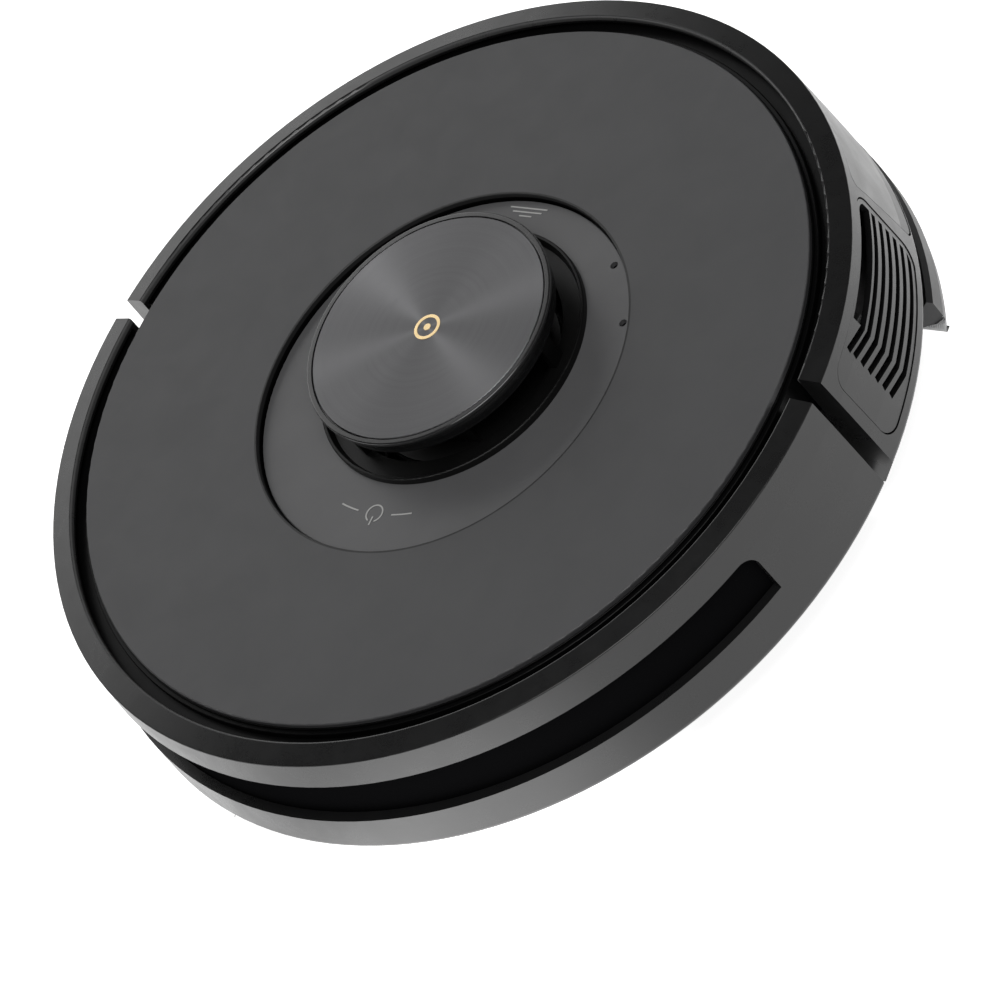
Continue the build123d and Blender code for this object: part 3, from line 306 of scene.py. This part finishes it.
def shell_satin():
    """The half shells' satin paint, with a painted highlight: a light band along the rim's inner top edge."""
    g = moulded("shell_satin", (0.008, 0.008, 0.0082), 0.3, grain=0.35 * MM, depth=0.004 * MM, cloud=1.08)
    radius = g.vector("LENGTH", g.moved(scale=(1.0, 1.0, 0.0)))
    # Painted highlight: the colour is lightened on the rim's inner edge, in place of the light that its fillet
    # catches.
    highlight_band = g.span(radius, RIM_EDGE_R + 0.35 * MM, RIM_EDGE_R + 0.75 * MM, 1.0, 0.0)
    highlight_top = g.span(g.axis("Z"), RIM_EDGE_Z, RIM_EDGE_Z + 0.4 * MM)
    before = g.shader.inputs["Base Color"].links[0].from_socket
    g.set("Base Color", g.blend(g.math("MULTIPLY", highlight_band, highlight_top), before, (0.09, 0.09, 0.09)))
    return g


def face_grey():
    """The rear face in two tones: light grey above a moulded line, black below it."""
    g = moulded("face_grey", (0.125, 0.125, 0.125), 0.38, grain=0.35 * MM, depth=0.006 * MM, cloud=1.05)
    below = g.span(g.axis("Z"), FACE_SPLIT_Z - 0.1 * MM, FACE_SPLIT_Z + 0.1 * MM, 1.0, 0.0)
    before = g.shader.inputs["Base Color"].links[0].from_socket
    g.set("Base Color", g.blend(below, before, (0.009, 0.009, 0.0092)))
    return g


def lens_glass():
    """Coated lens glass with a violet-green tint that changes over its face."""
    g = Graph("lens_glass", (0.03, 0.035, 0.06), 0.05, Coat_Weight=1.0, Coat_Roughness=0.02)
    tint = g.noise(5 * MM, 1.0, 0.4)
    g.set("Base Color", g.blend(g.span(tint, 0.35, 0.65), (0.03, 0.02, 0.08), (0.01, 0.06, 0.05)))
    return g


def printed():
    """Pad-printed ink: a dry, slightly broken light grey."""
    g = Graph("printed_mark", (0.42, 0.42, 0.41), 0.55)
    ink = g.noise(0.4 * MM, 3.0, 0.7)
    g.set("Base Color", g.blend(g.span(ink, 0.5, 0.8, 0.0, 0.35), (0.42, 0.42, 0.41), (0.26, 0.26, 0.26)))
    g.bump(ink, 0.01 * MM)
    return g


def circuit_board():
    """Solder mask with copper tracks that run at right angles, and pads."""
    g = Graph("solder_mask", (0.01, 0.09, 0.035), 0.3)
    one = g.node("ShaderNodeTexBrick", {"Vector": g.place, "Scale": 260.0, "Mortar Size": 0.06,
                                        "Color1": (0, 0, 0, 1), "Color2": (0.2, 0.2, 0.2, 1),
                                        "Mortar": (1, 1, 1, 1)}).outputs["Fac"]
    pads = g.span(g.cells(3.4 * MM), 0.1, 0.16, 1.0, 0.0)
    share = g.math("MAXIMUM", g.math("MULTIPLY", one, 0.7), g.math("MULTIPLY", pads, 0.9))
    g.set("Base Color", g.blend(share, (0.01, 0.09, 0.035), (0.06, 0.2, 0.07)))
    g.bump(share, 0.03 * MM)
    return g


def battery_sleeve():
    """Shrink sleeve: wrinkles across the cells, with painted shade and highlight following them, and a soft gloss.
    """
    g = Graph("battery_sleeve", (0.015, 0.05, 0.16), 0.32)
    folds = g.noise(6 * MM, 4.0, 0.6, where=g.moved(scale=(1.0, 0.25, 1.0)), distortion=1.2)
    # Painted shade and highlight: the colour follows the wrinkle height used for the bump, dark in the valleys and
    # light on the ridges.
    g.set("Base Color", g.blend(g.span(folds, 0.4, 0.7), (0.012, 0.045, 0.14), (0.03, 0.085, 0.24)))
    g.set("Roughness", g.span(folds, 0.3, 0.7, 0.25, 0.4))
    g.bump(folds, 0.5 * MM)
    return g


def pleated_paper():
    """Filter paper: pleats every few millimetres, with painted shade darkening each pleat's valley, and a felted
    surface.
    """
    g = Graph("pleated_paper", (0.72, 0.72, 0.68), 0.9)
    pleats = g.wave(3.2 * MM, direction="Y", profile="TRI")
    felt = g.noise(0.9 * MM, 4.0, 0.7)
    # Painted shade: the colour follows the pleat height, dark in the valleys and light on the crests.
    g.set("Base Color", g.blend(pleats, (0.42, 0.42, 0.4), (0.78, 0.78, 0.74)))
    g.bump(pleats, 1.2 * MM)
    g.bump(felt, 0.06 * MM)
    return g


def smoked_plastic():
    """Smoked clear plastic with a trace of fine dust on it."""
    g = Graph("smoked_plastic", (0.09, 0.09, 0.095), 0.14, Transmission_Weight=0.55, IOR=1.5)
    dust = g.noise(3 * MM, 5.0, 0.7)
    g.set("Base Color", g.blend(g.span(dust, 0.5, 0.8, 0.0, 0.4), (0.09, 0.09, 0.095), (0.24, 0.23, 0.22)))
    g.set("Roughness", g.span(dust, 0.4, 0.75, 0.1, 0.34))
    return g


def microfibre():
    """Short looped pile in narrow ribs, in two greys."""
    g = Graph("microfibre", (0.55, 0.56, 0.56), 0.95, Sheen_Weight=0.35, Sheen_Roughness=0.5)
    loops = g.cells(0.9 * MM, feature="SMOOTH_F1")
    tufts = g.noise(3.5 * MM, 4.0, 0.65)
    ribs = g.wave(4.0 * MM, direction="X", distortion=0.6)
    light = g.blend(g.span(tufts, 0.35, 0.7), (0.46, 0.47, 0.47), (0.66, 0.66, 0.65))
    shade = g.math("MULTIPLY", g.span(loops, 0.1, 0.8), 0.35)
    g.set("Base Color", g.blend(g.math("MULTIPLY", ribs, 0.35), g.blend(shade, light, (0.2, 0.2, 0.2)),
                                (0.30, 0.32, 0.34)))
    g.bump(loops, 0.5 * MM)
    g.bump(ribs, 0.5 * MM)
    return g


def woven_hem():
    """A twill binding tape."""
    g = Graph("woven_hem", (0.5, 0.5, 0.5), 0.85, Sheen_Weight=0.2)
    twill = g.wave(0.55 * MM, direction="DIAGONAL")
    yarn = g.noise(0.8 * MM, 3.0, 0.6)
    g.set("Base Color", g.blend(twill, (0.34, 0.34, 0.345), (0.6, 0.6, 0.6)))
    g.set("Roughness", g.span(yarn, 0.3, 0.7, 0.78, 0.95))
    g.bump(twill, 0.12 * MM)
    return g


def nylon(name, color):
    """Extruded nylon filaments, a little darker at places along their length."""
    g = Graph(name, color, 0.38, Specular_IOR_Level=0.45)
    along = g.noise(6 * MM, 2.0, 0.5)
    dark, light = tuple(c * 0.7 for c in color), tuple(c * 1.4 for c in color)
    g.set("Base Color", g.blend(g.span(along, 0.35, 0.7), dark, light))
    g.set("Roughness", g.span(along, 0.3, 0.7, 0.3, 0.48))
    return g


FINISHES = {
    "lid_satin": lid_satin(),
    "frame_black": moulded("frame_black", (0.002, 0.002, 0.0021), 0.34, grain=0.3 * MM, depth=0.005 * MM,
                           Specular_IOR_Level=0.12),
    "panel_satin": moulded("panel_satin", (0.092, 0.092, 0.094), 0.40, grain=0.3 * MM, depth=0.006 * MM,
                           cloud=1.05),
    "print_grey": printed(),
    "gloss_black": polished("gloss_black", (0.0035, 0.0035, 0.0038), 0.12, Specular_IOR_Level=0.0),
    "slot_black": moulded("slot_black", (0.003, 0.003, 0.003), 0.4, depth=0.004 * MM, Specular_IOR_Level=0.25),
    "cap_satin": moulded("cap_satin", (0.012, 0.012, 0.0125), 0.16, depth=0.002 * MM, smudge=0.03,
                         Specular_IOR_Level=0.8),
    "spun_metal": spun("spun_metal", (0.160, 0.160, 0.164), 0.34, CAP_CENTRE),
    # Painted light: the badge has a faint warm emission, so it glows though it is no lamp.
    "badge_gold": metal("badge_gold", (0.95, 0.74, 0.42), 0.3, Emission_Color=(0.9, 0.62, 0.3, 1.0),
                        Emission_Strength=0.22),
    "shell_satin": shell_satin(),
    "chassis_black": moulded("chassis_black", (0.016, 0.016, 0.0165), 0.55, grain=0.6 * MM, depth=0.05 * MM),
    "laser_black": moulded("laser_black", (0.008, 0.008, 0.008), 0.5, depth=0.01 * MM),
    "lens_glass": lens_glass(),
    "motor_steel": metal("motor_steel", (0.5, 0.5, 0.51), 0.3),
    "belt_rubber": rubber("belt_rubber", (0.02, 0.02, 0.02), 0.75),
    "steel": metal("steel", (0.58, 0.58, 0.57), 0.28, along=(6.0, 6.0, 6.0)),
    "contact_gold": metal("contact_gold", (0.70, 0.58, 0.34), 0.25, along=(20.0, 1.0, 1.0)),
    "arm_grey": moulded("arm_grey", (0.07, 0.07, 0.073), 0.5, grain=0.5 * MM, depth=0.03 * MM),
    "hub_grey": moulded("hub_grey", (0.17, 0.17, 0.175), 0.45, grain=0.4 * MM, depth=0.02 * MM),
    "tyre_rubber": rubber("tyre_rubber", (0.018, 0.018, 0.018), 0.8),
    "caster_white": moulded("caster_white", (0.42, 0.42, 0.42), 0.42, grain=0.5 * MM),
    "caster_black": moulded("caster_black", (0.018, 0.018, 0.018), 0.45, grain=0.5 * MM),
    "roller_core": moulded("roller_core", (0.10, 0.10, 0.105), 0.45, grain=0.5 * MM),
    "duct_grey": moulded("duct_grey", (0.11, 0.11, 0.11), 0.5, grain=0.5 * MM),
    "bin_smoke": smoked_plastic(),
    "filter_paper": pleated_paper(),
    "face_grey": face_grey(),
    "latch_dark": moulded("latch_dark", (0.20, 0.20, 0.20), 0.4, grain=0.35 * MM),
    "mop_black": moulded("mop_black", (0.014, 0.014, 0.0145), 0.42, grain=0.4 * MM, depth=0.01 * MM),
    "board_green": circuit_board(),
    "battery_wrap": battery_sleeve(),
}

OWN_FINISH = {"turret_collar": "slot_black"}


def finish_cad():
    """Every CAD node that shows gets the finish of its material slot in the record."""
    slots = {row["node"]: row["material_slot"] for row in frame["record"]["subparts"]}
    for name, node in NODES.items():
        finish = FINISHES.get(OWN_FINISH.get(name, slots[name]))
        if finish is None:
            continue
        for place in node.material_slots:
            place.material = finish.mat


# ---------------------------------------------------------------- pieces in mesh code

def new_piece(name, mesh, body, slot, finish, *nodes):
    piece = bpy.data.objects.new(name, mesh)
    bpy.context.collection.objects.link(piece)
    piece.data.materials.append(finish.mat)
    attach(piece, body)
    if nodes:
        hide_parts(*nodes)
    return piece


def filament(bm, points, radii, sides=3):
    """A tapered thread along points."""
    rings = []
    for index, point in enumerate(points):
        before, after = points[max(index - 1, 0)], points[min(index + 1, len(points) - 1)]
        along = (after - before).normalized()
        across = along.orthogonal().normalized()
        other = along.cross(across)
        ring = []
        for side in range(sides):
            a = 2 * math.pi * side / sides
            ring.append(bm.verts.new(point + (across * math.cos(a) + other * math.sin(a)) * radii[index]))
        rings.append(ring)
    for low, high in zip(rings, rings[1:]):
        for side in range(sides):
            bm.faces.new((low[side], low[(side + 1) % sides], high[(side + 1) % sides], high[side]))
    bm.faces.new(rings[0][::-1])
    bm.faces.new(rings[-1])


def as_mesh(bm, name, smooth=True):
    mesh = bpy.data.meshes.new(name)
    bmesh.ops.recalc_face_normals(bm, faces=bm.faces)
    bm.to_mesh(mesh)
    bm.free()
    for face in mesh.polygons:
        face.use_smooth = smooth
    return mesh


JOINT_PLACES = {joint["name"]: joint["pos_m"] for joint in frame["joints"] if "pos_m" in joint}

# The roller lies along Y, and its blades and bristle rows wind round it in a shallow V.
ROLLER_X, _, ROLLER_Z = JOINT_PLACES["main_brush_spin"]
ROLLER_R, ROLLER_HALF = 21 * MM, 76 * MM
ROLLER_CORE_R = 9 * MM
STRIP_HALF = ROLLER_HALF - 2.5 * MM
STRIP_STEPS = 80
TUFTS_PER_ROW, FILAMENTS_PER_TUFT = 44, 15
SWEEP = math.radians(48)


def roller_point(angle, radius, y):
    return Vector((ROLLER_X + math.cos(angle) * radius, y, ROLLER_Z - math.sin(angle) * radius))


def strip_angle(index, y):
    return -math.radians(60 * index) - SWEEP * abs(y) / STRIP_HALF


def roller_blades():
    """Three soft blades with a thick foot, a thin lip and small grip ribs."""
    bm = bmesh.new()
    outline = ((0.0086, -0.0022), (0.0104, -0.0011), (0.0150, -0.0008), (0.0196, -0.0006), (0.0200, 0.0),
               (0.0196, 0.0006), (0.0150, 0.0008), (0.0104, 0.0011), (0.0086, 0.0022))
    for index in (1, 3, 5):
        rings = []
        for step in range(STRIP_STEPS + 1):
            y = -STRIP_HALF + 2 * STRIP_HALF * step / STRIP_STEPS
            angle = strip_angle(index, y)
            swell = 1.0 + (0.35 if step % 4 < 2 else 0.0)
            ring = []
            for radius, side in outline:
                wide = side * (swell if 0.011 < radius < 0.0199 else 1.0)
                out = Vector((math.cos(angle), 0.0, -math.sin(angle)))
                across = Vector((math.sin(angle), 0.0, math.cos(angle)))
                ring.append(bm.verts.new(Vector((ROLLER_X, y, ROLLER_Z)) + out * radius + across * wide))
            rings.append(ring)
        count = len(outline)
        for low, high in zip(rings, rings[1:]):
            for k in range(count):
                bm.faces.new((low[k], low[(k + 1) % count], high[(k + 1) % count], high[k]))
        bm.faces.new(rings[0][::-1])
        bm.faces.new(rings[-1])
    mesh = as_mesh(bm, "roller_blades", smooth=False)
    return new_piece("roller_blades", mesh, "main_brush", "bristles",
                     rubber("blade_rubber", (0.05, 0.055, 0.065), 0.55), "brush_bristles")


def roller_bristles():
    """Three rows of nylon tufts, each tuft a small spray of filaments."""
    draw = random.Random(11)
    bm = bmesh.new()
    for index in (0, 2, 4):
        for tuft in range(TUFTS_PER_ROW):
            y = -STRIP_HALF + 0.0012 + (2 * STRIP_HALF - 0.0024) * tuft / (TUFTS_PER_ROW - 1)
            angle = strip_angle(index, y)
            for _ in range(FILAMENTS_PER_TUFT):
                foot_angle = angle + draw.uniform(-0.11, 0.11)
                foot_y = y + draw.uniform(-0.0011, 0.0011)
                lean = draw.gauss(0, 0.035)
                tip_y = max(-STRIP_HALF, min(STRIP_HALF, foot_y + draw.gauss(0, 0.0007)))
                tip_r = ROLLER_R - draw.uniform(0.0001, 0.0009)
                points = [
                    roller_point(foot_angle, ROLLER_CORE_R - 0.0004, foot_y),
                    roller_point(foot_angle + lean * 0.4, (ROLLER_CORE_R + tip_r) / 2, (foot_y + tip_y) / 2),
                    roller_point(foot_angle + lean, tip_r, tip_y),
                ]
                filament(bm, points, (0.00013, 0.00012, 0.0001))
    mesh = as_mesh(bm, "roller_bristles")
    return new_piece("roller_bristles", mesh, "main_brush", "bristles",
                     nylon("roller_nylon", (0.22, 0.22, 0.225)))


# The side brush turns about an upright axis at the right front.
SIDE_X, SIDE_Y, _ = JOINT_PLACES["side_brush_spin"]
SIDE_TURN = math.radians(22.2)
SIDE_REACH = 61 * MM
SIDE_FILAMENTS = 70
SIDE_SOCKET = 25.5 * MM    # where the tufts leave their arms
SIDE_HIGH, SIDE_TIP_HIGH = 5.9 * MM, 2.6 * MM


def side_brush_tufts():
    """Three fans of long filaments, each from a socket at the end of its arm, bent a little at the tip."""
    draw = random.Random(23)
    bm = bmesh.new()
    middle = Vector((SIDE_X, SIDE_Y, 0.0))
    for arm in range(3):
        turn = SIDE_TURN + math.radians(120 * arm)
        out = Vector((math.cos(turn), math.sin(turn), 0.0))
        across = Vector((-math.sin(turn), math.cos(turn), 0.0))
        for _ in range(SIDE_FILAMENTS):
            foot_side, foot_high = draw.uniform(-0.0017, 0.0017), draw.uniform(-0.0009, 0.0009)
            tip_side = foot_side * 2.4 + draw.gauss(0, 0.0012)
            tip_side = max(-0.0062, min(0.0062, tip_side))
            reach = SIDE_REACH - draw.uniform(0.0002, 0.004)
            tip_high = SIDE_TIP_HIGH + draw.uniform(-0.0008, 0.0008)
            points = []
            for step in range(6):
                t = step / 5
                along = SIDE_SOCKET + (reach - SIDE_SOCKET) * t
                side = foot_side + (tip_side - foot_side) * t ** 1.3
                high = SIDE_HIGH + foot_high * (1 - t) + (tip_high - SIDE_HIGH) * t ** 1.5
                points.append(middle + out * along + across * side + Vector((0, 0, high)))
            filament(bm, points, (0.00019, 0.00019, 0.00018, 0.00017, 0.00016, 0.00014))
    mesh = as_mesh(bm, "side_brush_tufts")
    return new_piece("side_brush_tufts", mesh, "side_brush", "bristles",
                     nylon("side_nylon", (0.06, 0.06, 0.062)), "side_brush_bristles")


# ---------------------------------------------------------------- the mop pad

PAD_LOW, PAD_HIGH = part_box("mop_cloth")
PAD_R, PAD_FRONT_X, PAD_TOP = -PAD_LOW[0], PAD_HIGH[0], PAD_HIGH[2] - 0.1 * MM
PAD_CENTRE = Vector((-0.128, 0.0))
ARC_STEPS, FRONT_STEPS = 160, 30


def pad_outline(radius, front_x):
    """A half-moon: an arc behind a straight front edge."""
    half = math.acos(-front_x / radius)
    turns = [half - 2 * half * k / ARC_STEPS for k in range(ARC_STEPS + 1)]
    arc = [(-radius * math.cos(turn), radius * math.sin(turn)) for turn in turns]
    y_end, y_start = arc[-1][1], arc[0][1]
    front = [(front_x, y_end + (y_start - y_end) * k / FRONT_STEPS) for k in range(1, FRONT_STEPS)]
    return arc + front


def mop_pad():
    """The microfibre pad, with soft edges and a slightly uneven underside. The hem is its own piece."""
    draw = random.Random(5)
    bm = bmesh.new()
    outline = pad_outline(PAD_R - 0.0008, PAD_FRONT_X - 0.0004)
    levels = ((1.0, 0.0022), (1.0, 0.0036), (0.994, 0.0046), (0.985, 0.0050))
    under = ((0.997, 0.0010), (0.988, 0.0003))

    def ring(share, high, wobble=0.0):
        made = []
        for x, y in outline:
            px, py = PAD_CENTRE.x + (x - PAD_CENTRE.x) * share, PAD_CENTRE.y + (y - PAD_CENTRE.y) * share
            made.append(bm.verts.new((px, py, max(0.0, high + draw.uniform(-wobble, wobble)))))
        return made

    rings = [ring(*level) for level in reversed(levels)]
    rings += [ring(*level) for level in under]
    rings += [ring(share, 0.0002, 0.0002) for share in (0.95, 0.9, 0.8, 0.7, 0.6, 0.5, 0.4, 0.3, 0.2, 0.1)]
    for a, b in zip(rings, rings[1:]):
        for k in range(len(outline)):
            n = (k + 1) % len(outline)
            bm.faces.new((a[k], a[n], b[n], b[k]))
    middle = bm.verts.new((*PAD_CENTRE, 0.0001))
    for k in range(len(outline)):
        bm.faces.new((rings[-1][k], rings[-1][(k + 1) % len(outline)], middle))
    top_middle = bm.verts.new((*PAD_CENTRE, PAD_TOP))
    for k in range(len(outline)):
        bm.faces.new((rings[0][(k + 1) % len(outline)], rings[0][k], top_middle))
    mesh = as_mesh(bm, "mop_pad")
    piece = new_piece("mop_pad", mesh, "mop", "mop_fabric", microfibre(), "mop_cloth")
    return piece


def mop_hem():
    """The binding tape round the pad's edge."""
    bm = bmesh.new()
    outline = pad_outline(PAD_R - 0.0004, PAD_FRONT_X)
    count = len(outline)
    profile = ((-0.0040, 0.00515), (-0.0006, 0.00505), (0.0004, 0.0040), (0.0005, 0.0020), (-0.0002, 0.0009),
               (-0.0030, 0.0004), (-0.0030, 0.0010), (-0.0010, 0.0016), (-0.0008, 0.0036), (-0.0040, 0.0046))
    rings = []
    for k in range(count):
        x, y = outline[k]
        before, after = Vector(outline[k - 1]), Vector(outline[(k + 1) % count])
        along = (after - before).normalized()
        out = Vector((along.y, -along.x))
        if out.dot(Vector((x, y)) - PAD_CENTRE) < 0:
            out = -out
        rings.append([bm.verts.new((x + out.x * s, y + out.y * s, z)) for s, z in profile])
    n = len(profile)
    for k in range(count):
        a, b = rings[k], rings[(k + 1) % count]
        for j in range(n):
            bm.faces.new((a[j], a[(j + 1) % n], b[(j + 1) % n], b[j]))
    mesh = as_mesh(bm, "mop_hem")
    return new_piece("mop_hem", mesh, "mop", "mop_fabric", woven_hem())


# ---------------------------------------------------------------- floor, world and lights

GLOW_CENTRE = (0.195, 0.075, 0.0)    # the floor is brightest in front of the robot's nose
GLOW_INNER, GLOW_OUTER = 0.03, 0.12
FLOOR_HALF, FLOOR_Z = 6.0, -0.5 * MM


def make_floor():
    """A plain pale floor that glows like a light table, and that is clear when seen from below."""
    g = Graph("floor", (0.9, 0.9, 0.9), 0.6, Emission_Color=(1.0, 1.0, 1.0, 1.0))
    near = g.vector("DISTANCE", g.moved(scale=(1.0, 1.0, 0.0)), GLOW_CENTRE)
    g.set("Emission Strength", g.span(near, GLOW_INNER, GLOW_OUTER, 2.8, 0.9))
    soft = g.noise(0.8, 2.0, 0.5)
    g.set("Base Color", g.blend(soft, (0.89, 0.89, 0.89), (0.92, 0.92, 0.92)))
    below = g.node("ShaderNodeNewGeometry").outputs["Backfacing"]
    clear = g.node("ShaderNodeBsdfTransparent").outputs[0]
    both = g.node("ShaderNodeMixShader", {0: below, 1: g.shader.outputs[0], 2: clear}).outputs[0]
    g.tree.links.new(both, g.tree.nodes["Material Output"].inputs["Surface"])
    bm = bmesh.new()
    bmesh.ops.create_grid(bm, x_segments=8, y_segments=8, size=FLOOR_HALF)
    floor = bpy.data.objects.new("floor", as_mesh(bm, "floor"))
    floor.location.z = FLOOR_Z
    floor.data.materials.append(g.mat)
    bpy.context.collection.objects.link(floor)


def make_world():
    """A dim grey world, so that the dark shell reflects only the boxes and the floor."""
    world = bpy.data.worlds.new("studio")
    world.use_nodes = True
    background = world.node_tree.nodes["Background"].inputs
    background["Color"].default_value = (1.0, 1.0, 1.0, 1.0)
    background["Strength"].default_value = 0.08
    bpy.context.scene.world = world


def make_lights():
    """A wide box low behind the robot for its sheen, a weak one at its right, and a high one over its left."""
    area_light("back_box", 248, 24, 2.2, (1.9, 1.5), 1.4)
    area_light("side_box", -42, 10, 2.0, (1.2, 0.8), 1.2)
    area_light("top_box", 58, 64, 2.6, (1.9, 1.6), 4.8)


make_camera()
finish_cad()
roller_blades()
roller_bristles()
side_brush_tufts()
mop_pad()
mop_hem()
make_floor()
make_world()
make_lights()
bpy.context.scene.view_settings.view_transform = "Standard"
